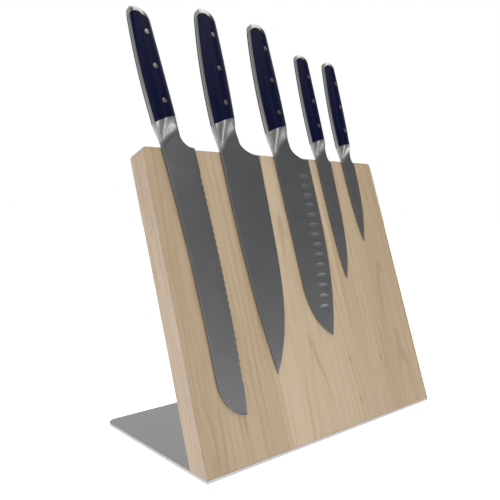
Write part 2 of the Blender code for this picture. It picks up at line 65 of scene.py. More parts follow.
# The board's own frame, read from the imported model: x across, y up its slope, z out of its face
pullAxis = Vector(frame["joints"][0]["axis"])
lean = math.atan2(pullAxis.z, -pullAxis.y)
boardLow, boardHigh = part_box("board")
plateLow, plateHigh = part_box("base_plate")
boardWidth = boardHigh.x - boardLow.x
boardHeight = (boardHigh.z - boardLow.z) / math.cos(lean)
boardThick = (boardHigh.y - boardLow.y - boardHeight * math.sin(lean)) * math.cos(lean)
boardTurn = math.pi / 2 - lean
boardOrigin = Vector((0, boardLow.y, boardLow.z))
boardMatrix = Matrix.Translation(boardOrigin) @ Matrix.Rotation(boardTurn, 4, "X")
print("frame read: board %.1f x %.1f x %.1f mm" % (boardWidth / mm, boardHeight / mm, boardThick / mm))


class Wire:
    # A socket that can be used in sums, so that shader maths reads as plain expressions
    def __init__(self, shader, socket):
        self.shader = shader
        self.socket = socket

    def maths(self, operation, first, second=None):
        values = {0: first} if second is None else {0: first, 1: second}
        return self.shader.node("ShaderNodeMath", {"operation": operation}, values)

    def __add__(self, other):
        return self.maths("ADD", self, other)

    __radd__ = __add__

    def __mul__(self, other):
        return self.maths("MULTIPLY", self, other)

    __rmul__ = __mul__

    def __sub__(self, other):
        return self.maths("SUBTRACT", self, other)

    def __rsub__(self, other):
        return self.maths("SUBTRACT", other, self)

    def __pow__(self, other):
        return self.maths("POWER", self, other)

    def __gt__(self, other):
        return self.maths("GREATER_THAN", self, other)

    def size(self):
        return self.maths("ABSOLUTE", self)

    def sine(self):
        return self.maths("SINE", self)

    def within(self, low, high):
        # 0 at low, 1 at high, eased between them
        return self.shader.node("ShaderNodeMapRange", {"interpolation_type": "SMOOTHSTEP"},
                                {"Value": self, "From Min": low, "From Max": high})


class Finish:
    # One material: a Principled shader with its fixed values, and the nodes that vary it
    def __init__(self, name, colour, roughness, metallic=0.0, **fixed):
        self.material = bpy.data.materials.new(name)
        self.material.use_nodes = True
        self.tree = self.material.node_tree
        self.principled = self.tree.nodes["Principled BSDF"]
        self.principled.inputs["Base Color"].default_value = (*colour, 1.0)
        self.principled.inputs["Roughness"].default_value = roughness
        self.principled.inputs["Metallic"].default_value = metallic
        for socket, value in fixed.items():
            self.principled.inputs[socket.replace("_", " ")].default_value = value

    def node(self, kind, settings=None, sockets=None, output=0):
        made = self.tree.nodes.new(kind)
        for key, value in (settings or {}).items():
            if key == "stops":
                ramp = made.color_ramp
                for index, (place, tone) in enumerate(value):
                    stop = ramp.elements[index] if index < 2 else ramp.elements.new(place)
                    stop.position = place
                    stop.color = (tone, tone, tone, 1.0) if isinstance(tone, float) else (*tone, 1.0)
            else:
                setattr(made, key, value)
        for key, value in (sockets or {}).items():
            if isinstance(value, Wire):
                self.tree.links.new(value.socket, made.inputs[key])
            else:
                made.inputs[key].default_value = value
        return Wire(self, made.outputs[output])

    def mix(self, share, first, second, blend="MIX"):
        def full(colour):
            return colour if isinstance(colour, Wire) else (*colour, 1.0)
        return self.node("ShaderNodeMix", {"data_type": "RGBA", "blend_type": blend},
                         {0: share, 6: full(first), 7: full(second)}, 2)

    def place(self):
        return self.node("ShaderNodeTexCoord", output="Object")

    def attribute(self, name):
        return self.node("ShaderNodeAttribute", {"attribute_name": name}, {}, "Fac")

    def boardPlace(self):
        # Position in the board's own frame, in metres
        return self.node("ShaderNodeMapping", {"vector_type": "TEXTURE"},
                         {"Vector": self.place(), "Location": boardOrigin, "Rotation": (boardTurn, 0, 0)})

    def stretched(self, vector, scale, shift=(0.0, 0.0, 0.0)):
        return self.node("ShaderNodeVectorMath", {"operation": "MULTIPLY_ADD"},
                         {0: vector, 1: scale, 2: shift})

    def noise(self, vector, scale=1.0, detail=3.0, roughness=0.55, distortion=0.0):
        return self.node("ShaderNodeTexNoise", {},
                         {"Vector": vector, "Scale": scale, "Detail": detail,
                          "Roughness": roughness, "Distortion": distortion})

    def axis(self, vector, name):
        return self.node("ShaderNodeSeparateXYZ", {}, {"Vector": vector}, name)

    def drive(self, socket, wire):
        self.tree.links.new(wire.socket, self.principled.inputs[socket])

    def bump(self, height, distance, strength=1.0):
        self.drive("Normal", self.node("ShaderNodeBump", {}, {
            "Height": height, "Distance": distance, "Strength": strength}))


mapleLook = {
    "joints": (-54.6, 53.0),                 # glue lines between staves, mm from the middle
    # How pale the wood is across the board, with a step at each glue line
    "tones": [(0.0, 0.30), (0.10, 0.42), (0.24, 0.46), (0.3120, 0.44), (0.3140, 0.92), (0.40, 0.76),
              (0.60, 0.70), (0.6805, 0.66), (0.6825, 0.50), (0.80, 0.44), (1.0, 0.34)],
    "pale": (0.560, 0.445, 0.310),
    "deep": (0.355, 0.252, 0.148),
    "red": (0.345, 0.205, 0.108),
    "edge": (0.470, 0.375, 0.280),           # side faces
    "hearts": ((-128.0, 120.0), (-8.0, -240.0), (118.0, -160.0)),
    # Knots and pitch marks: middle, half size across and along, strength
    "marks": ((85.2, 53.5, 0.9, 2.6, 0.85), (88.4, 43.6, 0.7, 2.3, 0.8), (39.0, 60.0, 2.0, 5.0, 0.40),
              (42.5, 21.0, 3.0, 6.5, 0.25), (-135.5, 7.0, 4.0, 11.5, 0.22), (-100.0, 30.0, 1.3, 13.0, 0.30)),
}


def makeMaple(name="maple", look=mapleLook, dull=1.0):
    wood = Finish(name, look["pale"], 0.46, 0.0, Specular_IOR_Level=0.35)
    where = wood.boardPlace()
    x = wood.axis(where, "X")
    y = wood.axis(where, "Y")
    joints = [j * mm for j in look["joints"]]
    across = x * (1 / boardWidth) + 0.5
    tone = wood.node("ShaderNodeValToRGB", {"stops": look["tones"]}, {0: across})
    heartX, heartY = look["hearts"][0][0] * mm, look["hearts"][0][1] * mm
    stave = 0.0
    for index, joint in enumerate(joints):
        past = x > joint
        stave = past + stave
        heartX = past * ((look["hearts"][index + 1][0] - look["hearts"][index][0]) * mm) + heartX
        heartY = past * ((look["hearts"][index + 1][1] - look["hearts"][index][1]) * mm) + heartY
    shift = wood.node("ShaderNodeCombineXYZ", {}, {"X": stave * 0.37, "Y": stave * 1.71, "Z": stave * 0.53})
    grainPlace = wood.node("ShaderNodeVectorMath", {"operation": "ADD"}, {0: where, 1: shift})

    # Growth rings: long ovals round each stave's heart, which read as upright lines beside it
    wander = wood.noise(wood.stretched(grainPlace, (24, 6.5, 24)), 1.0, 3.0, 0.5)
    side = x - heartX
    along = (y - heartY) * 0.06
    ring = (side * side + along * along) ** 0.5 + (wander - 0.5) * 0.014
    ring = ring - side * side * 1.6
    lines = (ring * 1080.0).sine().within(0.66, 1.0)
    lineStrength = wood.noise(wood.stretched(grainPlace, (60, 6, 60)), 1.0, 2.0, 0.5).within(0.36, 0.62)
    lines = lines * lineStrength

    fine = wood.noise(wood.stretched(grainPlace, (1500, 26, 1500)), 1.0, 3.0, 0.6)
    streaks = wood.noise(wood.stretched(grainPlace, (300, 5, 300)), 1.0, 3.0, 0.6)
    broad = wood.noise(wood.stretched(grainPlace, (42, 5, 42)), 1.0, 2.0, 0.5)
    shade = broad.within(0.25, 0.75) * 0.30 + streaks.within(0.25, 0.75) * 0.40 + fine * 0.26
    colour = wood.mix(shade * 0.66 + tone - 0.22, look["deep"], look["pale"])
    colour = wood.mix(lines * 0.40, colour, look["red"])

    # Red mineral streaks and short dark flecks
    blush = wood.noise(wood.stretched(grainPlace, (110, 9, 110), (3.1, 0.4, 0.0)), 1.0, 2.0, 0.5)
    colour = wood.mix(blush.within(0.60, 0.76) * 0.30, colour, look["red"])
    fleck = wood.noise(wood.stretched(grainPlace, (900, 110, 900), (0.0, 7.7, 0.0)), 1.0, 1.0, 0.4)
    colour = wood.mix(fleck.within(0.71, 0.80) * 0.4, colour, (0.22, 0.13, 0.075))
    for markX, markY, wide, tall, strength in look["marks"]:
        offX = (x - markX * mm) * (1 / (wide * mm)) + (wander - 0.5) * 2.0
        offY = (y - markY * mm) * (1 / (tall * mm))
        inside = 1 - (offX * offX + offY * offY) ** 0.5
        swirl = (inside * 11.0).sine().within(-0.7, 0.6)
        dark = inside.within(-0.1, 0.5) * (swirl * 0.6 + 0.4) * strength
        colour = wood.mix(dark, colour, (0.20, 0.105, 0.052))

    # Side faces are cut across the staves and read paler
    out = x.size() - (boardWidth / 2 - 0.0009)
    sideGrain = wood.noise(wood.stretched(where, (200, 14, 520)), 1.0, 4.0, 0.62)
    edgeColour = wood.mix(sideGrain.within(0.30, 0.72), (0.375, 0.280, 0.195), look["edge"])
    edgeFleck = wood.noise(wood.stretched(where, (600, 60, 900), (0.0, 2.2, 0.0)), 1.0, 1.0, 0.4)
    edgeColour = wood.mix(edgeFleck.within(0.64, 0.74) * 0.45, edgeColour, (0.26, 0.165, 0.105))
    colour = wood.mix(out.within(-0.0003, 0.0002), colour, edgeColour)

    # Glue lines
    seam = 0.0
    for joint in joints:
        gap = (x - joint).size()
        seam = (1 - gap.within(0.00005, 0.00028)) * 0.14 + seam
    colour = wood.mix(seam, colour, (0.36, 0.24, 0.15))
    if dull < 1.0:
        colour = wood.mix(1 - dull, colour, (0.40, 0.28, 0.17))
    wood.drive("Base Color", colour)
    wood.drive("Roughness", fine * 0.16 + streaks * 0.08 + 0.34)
    wood.bump(fine * 0.6 + streaks * 0.4 - lines * 0.15, 0.00004)
    return wood.material


def makeBladeSteel():
    # Satin ground flats, brighter on the bolster, paler in the hollows, with painted shade along the rim
    steel = Finish("blade_steel", (0.56, 0.565, 0.575), 0.34, 1.0)
    where = steel.boardPlace()
    polish, lap, rim = [steel.attribute(name) for name in ("polish", "lap", "rim")]
    lines = steel.noise(steel.stretched(where, (60, 2600, 60)), 1.0, 4.0, 0.65)
    cloud = steel.noise(where, 60.0, 3.0, 0.5)
    ground = steel.mix(lines.within(0.2, 0.8), (0.365, 0.367, 0.378), (0.425, 0.427, 0.440))
    ground = steel.mix(cloud * 0.3, ground, (0.465, 0.467, 0.480))
    bright = steel.mix(lines.within(0.3, 0.7), (0.60, 0.595, 0.585), (0.66, 0.655, 0.645))
    colour = steel.mix(polish, ground, bright)
    colour = steel.mix(lap, colour, (0.56, 0.565, 0.575))
    # Painted shade: the spine and edge faces are darkened into a thin dark outline
    colour = steel.mix(rim, colour, steel.mix(cloud, (0.15, 0.145, 0.14), (0.21, 0.205, 0.20)))
    steel.drive("Base Color", colour)
    steel.drive("Roughness", 0.31 - polish * 0.03 - lap * 0.02 + (lines - 0.5) * 0.10 + (cloud - 0.5) * 0.05)
    steel.bump(lines * (1 - polish * 0.85), 0.000012, 0.8)
    return steel.material


def makeCapSteel():
    steel = Finish("cap_steel", (0.72, 0.71, 0.69), 0.18, 1.0)
    where = steel.boardPlace()
    lines = steel.noise(steel.stretched(where, (90, 1900, 90)), 1.0, 3.0, 0.6)
    cloud = steel.noise(where, 260.0, 2.0, 0.5)
    steel.drive("Base Color", steel.mix(lines.within(0.25, 0.75), (0.34, 0.335, 0.325), (0.50, 0.49, 0.475)))
    steel.drive("Roughness", lines * 0.08 + cloud * 0.10 + 0.12)
    steel.bump(lines, 0.000008, 0.7)
    return steel.material


def makeRivetSteel():
    steel = Finish("rivet_steel", (0.50, 0.49, 0.46), 0.30, 1.0)
    where = steel.boardPlace()
    lines = steel.noise(steel.stretched(where, (2400, 160, 160)), 1.0, 3.0, 0.6)
    cloud = steel.noise(where, 700.0, 2.0, 0.5)
    steel.drive("Base Color", steel.mix(lines.within(0.25, 0.75), (0.22, 0.215, 0.20), (0.36, 0.35, 0.33)))
    steel.drive("Roughness", lines * 0.12 + cloud * 0.12 + 0.2)
    steel.bump(lines, 0.00001, 0.7)
    return steel.material


def makeBaseSteel():
    # Brushed from side to side on top, with a thin shadow line round its edge
    steel = Finish("base_steel", (0.52, 0.52, 0.525), 0.36, 1.0)
    where = steel.place()
    lines = steel.noise(steel.stretched(where, (14, 1500, 300)), 1.0, 4.0, 0.65)
    cloud = steel.noise(where, 22.0, 3.0, 0.5)
    colour = steel.mix(lines.within(0.2, 0.8), (0.40, 0.40, 0.405), (0.47, 0.47, 0.475))
    colour = steel.mix(cloud * 0.3, colour, (0.50, 0.50, 0.505))
    middle = (plateLow.z + plateHigh.z) / 2
    line = (steel.axis(where, "Z") - middle).size()
    up = steel.axis(steel.node("ShaderNodeNewGeometry", output="Normal"), "Z").size()
    edge = 1 - up.within(0.2, 0.5)
    colour = steel.mix(edge * 0.95, colour, (0.43, 0.42, 0.41))
    colour = steel.mix((1 - line.within(0.00006, 0.00022)) * edge * 0.45, colour, (0.34, 0.33, 0.325))
    steel.drive("Base Color", colour)
    steel.drive("Roughness", lines * 0.12 + cloud * 0.05 + edge * 0.14 + 0.26)
    steel.bump(lines, 0.000012, 0.7)
    return steel.material


def makeHandleBlue():
    blue = Finish("handle_blue", (0.003, 0.005, 0.03), 0.4, 0.0, Specular_IOR_Level=0.11)
    where = blue.boardPlace()
    cloud = blue.noise(blue.stretched(where, (120, 30, 120)), 1.0, 3.0, 0.55)
    speck = blue.noise(where, 1800.0, 2.0, 0.5)
    wipe = blue.noise(blue.stretched(where, (1400, 60, 1400)), 1.0, 3.0, 0.6)
    colour = blue.mix(cloud.within(0.3, 0.7), (0.0011, 0.0025, 0.019), (0.0022, 0.0040, 0.027))
    blue.drive("Base Color", colour)
    blue.drive("Roughness", cloud * 0.06 + wipe * 0.05 + 0.27)
    blue.bump(speck * 0.7 + wipe * 0.3, 0.000003, 0.5)
    return blue.material


def makeMagnet():
    grey = Finish("magnet_finish", (0.12, 0.12, 0.13), 0.5, 0.7)
    cloud = grey.noise(grey.place(), 420.0, 4.0, 0.6)
    grey.drive("Base Color", grey.mix(cloud.within(0.3, 0.7), (0.085, 0.085, 0.095), (0.16, 0.16, 0.17)))
    grey.drive("Roughness", cloud * 0.3 + 0.35)
    grey.bump(cloud, 0.00003, 0.6)
    return grey.material


def makeStripSteel():
    steel = Finish("strip_finish", (0.5, 0.5, 0.5), 0.4, 1.0)
    lines = steel.noise(steel.stretched(steel.boardPlace(), (20, 900, 900)), 1.0, 3.0, 0.6)
    steel.drive("Base Color", steel.mix(lines, (0.40, 0.40, 0.41), (0.58, 0.58, 0.58)))
    steel.drive("Roughness", lines * 0.25 + 0.28)
    steel.bump(lines, 0.00002, 0.6)
    return steel.material


def makeScrewSteel():
    steel = Finish("screw_steel", (0.55, 0.54, 0.52), 0.3, 1.0)
    cloud = steel.noise(steel.place(), 900.0, 3.0, 0.6)
    steel.drive("Base Color", steel.mix(cloud.within(0.3, 0.7), (0.44, 0.43, 0.415), (0.62, 0.61, 0.59)))
    steel.drive("Roughness", cloud * 0.25 + 0.2)
    steel.bump(cloud, 0.00001, 0.6)
    return steel.material


def makeFootRubber():
    rubber = Finish("foot_rubber", (0.50, 0.50, 0.49), 0.8)
    grit = rubber.noise(rubber.place(), 2600.0, 3.0, 0.6)
    rubber.drive("Base Color", rubber.mix(grit, (0.42, 0.42, 0.415), (0.58, 0.58, 0.57)))
    rubber.drive("Roughness", grit * 0.2 + 0.68)
    rubber.bump(grit, 0.00005, 0.6)
    return rubber.material


maple = makeMaple()
panelMaple = makeMaple("panel_maple", dict(
    mapleLook, joints=(-61.0, 20.0), hearts=((-90.0, 250.0), (-25.0, -60.0), (95.0, 300.0)),
    tones=[(0.0, 0.50), (0.2900, 0.40), (0.2920, 0.62), (0.5680, 0.52), (0.5700, 0.44), (1.0, 0.56)],
    marks=((60.0, 120.0, 1.2, 4.0, 0.5),)), 0.86)
bladeSteel = makeBladeSteel()
capSteel = makeCapSteel()
rivetSteel = makeRivetSteel()
baseSteel = makeBaseSteel()
handleBlue = makeHandleBlue()
screwSteel = makeScrewSteel()
footRubber = makeFootRubber()
magnetGrey = makeMagnet()
stripSteel = makeStripSteel()
for nodeName, node in frame["nodes"].items():
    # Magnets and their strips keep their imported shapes
    if "magnet" in nodeName or "strip" in nodeName:
        node.data.materials.clear()
        node.data.materials.append(magnetGrey if "magnet" in nodeName else stripSteel)
print("finishes made")


def addPiece(name, bm, material, body, replaced, angle=35.0):
    # A finished piece: its place is in its mesh, and its object stays at the origin
    bmesh.ops.recalc_face_normals(bm, faces=bm.faces[:])
    mesh = bpy.data.meshes.new(name)
    bm.to_mesh(mesh)
    bm.free()
    mesh.shade_smooth()
    mesh.set_sharp_from_angle(angle=math.radians(angle))
    mesh.materials.append(material)
    piece = bpy.data.objects.new(name, mesh)
    bpy.context.collection.objects.link(piece)
    if replaced:
        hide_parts(replaced)
        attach(piece, body)
    return piece


def evenShading(piece):
    # Keeps large flat faces flat beside their rounded edges
    weighted = piece.modifiers.new("even", "WEIGHTED_NORMAL")
    weighted.keep_sharp = True


def cutAway(piece, cutters):
    # Takes the cutters out of the piece, then removes them
    for cutter in cutters:
        boolean = piece.modifiers.new("cut", "BOOLEAN")
        boolean.operation = "DIFFERENCE"
        boolean.object = cutter
    bpy.context.view_layer.update()
    evaluated = piece.evaluated_get(bpy.context.evaluated_depsgraph_get())
    mesh = bpy.data.meshes.new_from_object(evaluated)
    piece.modifiers.clear()
    piece.data = mesh
    mesh.shade_smooth()
    mesh.set_sharp_from_angle(angle=math.radians(30))
    for cutter in cutters:
        bpy.data.objects.remove(cutter, do_unlink=True)


def turnedMesh(profile, steps):
    # Turned about +Z from (radius, height) points, first and last on the axis
    bm = bmesh.new()
    verts = [bm.verts.new((radius, 0.0, height)) for radius, height in profile]
    edges = [bm.edges.new(pair) for pair in zip(verts, verts[1:])]
    bmesh.ops.spin(bm, geom=verts + edges, cent=(0, 0, 0), axis=(0, 0, 1), dvec=(0, 0, 0),
                   angle=2 * math.pi, steps=steps, use_merge=True)
    bmesh.ops.remove_doubles(bm, verts=bm.verts, dist=1e-7)
    return bm


def newVerts(made):
    return [item for item in made["geom"] if isinstance(item, bmesh.types.BMVert)]


board = {
    "topCorner": 4.0 * mm,
    "edgeRound": 0.9 * mm,
    "drop": 0.22 * mm,            # closes most of the gap to the plate
    "channelGap": 0.3 * mm,
}


def toBoard(point):
    return boardMatrix.inverted() @ point


def boardBox(nodeName):
    # A CAD node's box in the board's own frame
    points = [toBoard(v.co) for v in frame["nodes"][nodeName].data.vertices]
    low = Vector([min(p[i] for p in points) for i in range(3)])
    high = Vector([max(p[i] for p in points) for i in range(3)])
    return low, high


def cutSheet(bm, place, normal):
    bmesh.ops.bisect_plane(bm, geom=bm.verts[:] + bm.edges[:] + bm.faces[:], dist=1e-7,
                           plane_co=place, plane_no=normal)


def sink(bm, low, high, fromZ, toZ):
    # Presses the rectangle low to high, at depth fromZ, inwards to toZ
    for x in (low[0], high[0]):
        cutSheet(bm, (x, 0, 0), (1, 0, 0))
    for y in (low[1], high[1]):
        cutSheet(bm, (0, y, 0), (0, 1, 0))
    floor = []
    for face in bm.faces:
        middle = face.calc_center_median()
        if abs(middle.z - fromZ) < 1e-5 and low[0] < middle.x < high[0] and low[1] < middle.y < high[1]:
            floor.append(face)
    grown = bmesh.ops.extrude_face_region(bm, geom=floor)
    bmesh.ops.translate(bm, vec=(0, 0, toZ - fromZ), verts=newVerts(grown))


def buildBoard(size=board):
    bm = bmesh.new()
    bmesh.ops.create_cube(bm, size=1.0)
    bmesh.ops.scale(bm, vec=(boardWidth, boardHeight, boardThick), verts=bm.verts)
    bmesh.ops.translate(bm, vec=(0, boardHeight / 2, -boardThick / 2), verts=bm.verts)
    for vert in bm.verts:                 # mitred foot, so that the board stands flat
        if vert.co.y < 1e-6:
            vert.co.y = -vert.co.z * math.tan(lean) - size["drop"] / math.cos(lean)
    ends = [e for e in bm.edges if all(abs(v.co.y - boardHeight) < 1e-6 for v in e.verts)
            and abs(e.verts[0].co.x - e.verts[1].co.x) < 1e-6]
    bmesh.ops.bevel(bm, geom=ends, offset=size["topCorner"], offset_type="OFFSET", segments=8,
                    affect="EDGES", profile=0.5, material=-1)
    low, high = boardBox("back_panel")
    gap = size["channelGap"]
    low, high = low - Vector((gap, gap, gap)), high + Vector((gap, gap, gap))
    floorZ = high.z
    sink(bm, low, high, -boardThick, floorZ)
    for row in ("upper", "lower"):
        stripBox = boardBox(row + "_backing_strip")
        magnetFront = boardBox(row + "_magnet_1")[1].z + gap
        around = Vector((gap, gap, 0))
        sink(bm, stripBox[0] - around, stripBox[1] + around, floorZ, magnetFront)
    bmesh.ops.dissolve_limit(bm, angle_limit=math.radians(0.5), verts=bm.verts, edges=bm.edges)
    sharp = [e for e in bm.edges if e.is_manifold and e.calc_face_angle() > 0.5]

    def outside(edge):
        middle = (edge.verts[0].co + edge.verts[1].co) / 2
        rim = 2 * mm
        return (abs(middle.x) > high.x + rim or middle.y > high.y + rim or middle.y < low.y - rim
                or middle.z > -rim)
    foot = boardThick * math.tan(lean) + 1 * mm
    outer = [e for e in sharp if outside(e) and not all(v.co.y < foot for v in e.verts)]
    bmesh.ops.bevel(bm, geom=outer, offset=size["edgeRound"], offset_type="OFFSET", segments=4,
                    affect="EDGES", profile=0.5, material=-1, clamp_overlap=True)
    bmesh.ops.transform(bm, matrix=boardMatrix, verts=bm.verts)
    evenShading(addPiece("maple_board", bm, maple, "stand", "board", 50.0))


buildBoard()
print("board made")


screw = {
    "panel": {"radius": 1.6 * mm, "head": 3.3 * mm},
    "base": {"radius": 2.0 * mm, "head": 3.8 * mm},
    "recess": 0.9,               # cross recess's half length over the shaft's radius
    "recessDeep": 1.1 * mm,
    "seatGap": 0.12 * mm,
}


def screwShape(sizes, length):
    # Countersunk screw along -Z with the top of its head at z = 0
    radius, head = sizes["radius"], sizes["head"]
    points = [(0, 0), (head - 0.1 * mm, 0), (head, -0.1 * mm), (head, -0.25 * mm)]
    points += [(radius, -0.25 * mm - (head - radius)), (radius, -length + radius), (0.2 * radius, -length)]
    points.append((0, -length))
    return turnedMesh(points, 40)


def recessShape(sizes):
    # Cross that is pressed into the head
    bm = bmesh.new()
    reach = sizes["radius"] * screw["recess"] * 1.25
    wide = reach * 0.3
    bmesh.ops.create_cube(bm, size=1.0, matrix=Matrix.Diagonal((wide * 2, wide * 2, 1, 1)))
    walls = [f for f in bm.faces if abs(f.normal.z) < 0.5]
    for wall in walls:
        out = wall.normal.copy()
        arm = bmesh.ops.extrude_discrete_faces(bm, faces=[wall])["faces"][0]
        bmesh.ops.translate(bm, vec=out * (reach - wide), verts=arm.verts)
    bmesh.ops.remove_doubles(bm, verts=bm.verts, dist=1e-7)
    bmesh.ops.scale(bm, vec=(1, 1, screw["recessDeep"] * 2), verts=bm.verts)
    return bm


def screwMatrix(nodeName, outward):
    # Head's seat: the middle of the node's outer end, facing out of the surface
    verts = [v.co for v in frame["nodes"][nodeName].data.vertices]
    top = max(v.dot(outward) for v in verts)
    rim = [v for v in verts if v.dot(outward) > top - 0.05 * mm]
    middle = sum(rim, Vector()) / len(rim)
    depth = top - min(v.dot(outward) for v in verts)
    turn = outward.to_track_quat("Z", "Y").to_matrix().to_4x4()
    return Matrix.Translation(middle) @ turn, depth


def buildScrew(nodeName, sizes, outward):
    matrix, depth = screwMatrix(nodeName, outward)
    bm = screwShape(sizes, depth)
    piece = addPiece("screw_" + nodeName, bm, screwSteel, "stand", nodeName)
    recess = addPiece("recess", recessShape(sizes), screwSteel, None, None)
    cutAway(piece, [recess])
    piece.data.transform(matrix)
    return matrix


def seatCutter(sizes, matrix):
    # Countersunk hole for a screw head
    wide = sizes["head"] + screw["seatGap"]
    narrow = sizes["radius"] + screw["seatGap"]
    bm = turnedMesh([(0, 1 * mm), (wide, 1 * mm), (wide, -0.25 * mm),
                     (narrow, -0.25 * mm - (wide - narrow)), (narrow, -0.06), (0, -0.06)], 40)
    bmesh.ops.transform(bm, matrix=matrix, verts=bm.verts)
    return addPiece("seat", bm, screwSteel, None, None)


boardBack = -(boardMatrix.to_3x3() @ Vector((0, 0, 1)))
panelSeats = []
for nodeName in sorted(n for n in frame["nodes"] if n.startswith("panel_screw")):
    panelSeats.append(buildScrew(nodeName, screw["panel"], boardBack))
baseSeats = []
for nodeName in sorted(n for n in frame["nodes"] if n.startswith("base_screw")):
    baseSeats.append(buildScrew(nodeName, screw["base"], Vector((0, 0, -1))))


def buildPanel():
    low, high = boardBox("back_panel")
    bm = bmesh.new()
    bmesh.ops.create_cube(bm, size=1.0)
    bmesh.ops.scale(bm, vec=high - low, verts=bm.verts)
    bmesh.ops.translate(bm, vec=(low + high) / 2, verts=bm.verts)
    back = [e for e in bm.edges if all(v.co.z < low.z + 1e-6 for v in e.verts)]
    bmesh.ops.bevel(bm, geom=back, offset=0.5 * mm, offset_type="OFFSET", segments=3,
                    affect="EDGES", profile=0.5, material=-1)
    bmesh.ops.transform(bm, matrix=boardMatrix, verts=bm.verts)
    panel = addPiece("rear_panel", bm, panelMaple, "stand", "back_panel")
    cutAway(panel, [seatCutter(screw["panel"], matrix) for matrix in panelSeats])
    evenShading(panel)


buildPanel()
print("screws and back panel made")


plate = {"corner": 10.0 * mm, "chamfer": 0.45 * mm}


def buildPlate(size=plate):
    bm = bmesh.new()
    bmesh.ops.create_cube(bm, size=1.0)
    bmesh.ops.scale(bm, vec=plateHigh - plateLow, verts=bm.verts)
    bmesh.ops.translate(bm, vec=(plateLow + plateHigh) / 2, verts=bm.verts)
    rear = [e for e in bm.edges if all(v.co.y > 0 for v in e.verts)
            and abs(e.verts[0].co.z - e.verts[1].co.z) > mm]
    bmesh.ops.bevel(bm, geom=rear, offset=size["corner"], offset_type="OFFSET", segments=16,
                    affect="EDGES", profile=0.5, material=-1)
    rims = [e for e in bm.edges if abs(e.verts[0].co.z - e.verts[1].co.z) < 1e-7]
    bmesh.ops.bevel(bm, geom=rims, offset=size["chamfer"], offset_type="OFFSET", segments=2,
                    affect="EDGES", profile=0.5, material=-1)
    piece = addPiece("steel_base", bm, baseSteel, "stand", "base_plate", 28.0)
    cutAway(piece, [seatCutter(screw["base"], matrix) for matrix in baseSeats])
    evenShading(piece)


def buildFoot(nodeName):
    # Domed pad with a rolled lip
    low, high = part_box(nodeName)
    radius, tall = (high.x - low.x) / 2, high.z - low.z
    lip = tall * 0.45
    points = [(0, 0), (radius * 0.55, 0), (radius * 0.62, 0.12 * tall), (radius * 0.70, 0)]
    points += [(radius - lip + lip * math.sin(a), lip - lip * math.cos(a))
               for a in [math.radians(18 * i) for i in range(6)]]
    points += [(radius, tall * 0.8), (radius * 0.97, tall), (0, tall)]
    bm = turnedMesh(points, 48)
    bmesh.ops.translate(bm, vec=((low.x + high.x) / 2, (low.y + high.y) / 2, low.z), verts=bm.verts)
    addPiece("pad_" + nodeName, bm, footRubber, "stand", nodeName)


buildPlate()
for nodeName in ("foot_front_left", "foot_front_right", "foot_back_left", "foot_back_right"):
    buildFoot(nodeName)
print("base plate and feet made")


# Millimetres. x runs from the board's left edge, s down from its top edge, h out of its face.
# A handle's two outlines each pass through three points: neck, halfway, and short of the butt.
grip = {
    "nose": 0.10,               # where the butt's highest point lies across the handle
    "buttStation": 14.6,        # outline's last point, from the butt
    "capDeep": 0.71,            # cap's depth over the handle's half thickness, at the nose
    "capFall": 0.66,            # how much lower its joint runs on the belly side
    "capRun": 0.55,             # share of the width over which it falls
    "capCurl": 0.10,            # how much it turns down again at the spine
    "side": 0.42,               # edge thickness over middle thickness
    "tang": 0.275,              # tang's thickness over the handle's middle thickness
    "round": 2.2,               # power of the section's curve
    "toHeel": 2.2,              # how far above the heel the bolster ends at the spine
    "seam": 0.05,               # gap left between neighbouring pieces
    "endLip": 0.06,             # how far cap and scales draw in at their joints
    "cadGap": 0.3,              # blade's back to the board's face
    "edge": 0.35,               # blade's thickness behind its edge
    "ridge": 0.62,              # near side: bolster's height where it meets the blade
    "fillet": 9.0,              # near side: run of the hollow from bolster to blade
    "farRun": 3.4,              # far side: how far past the ridge its bolster fades out
}
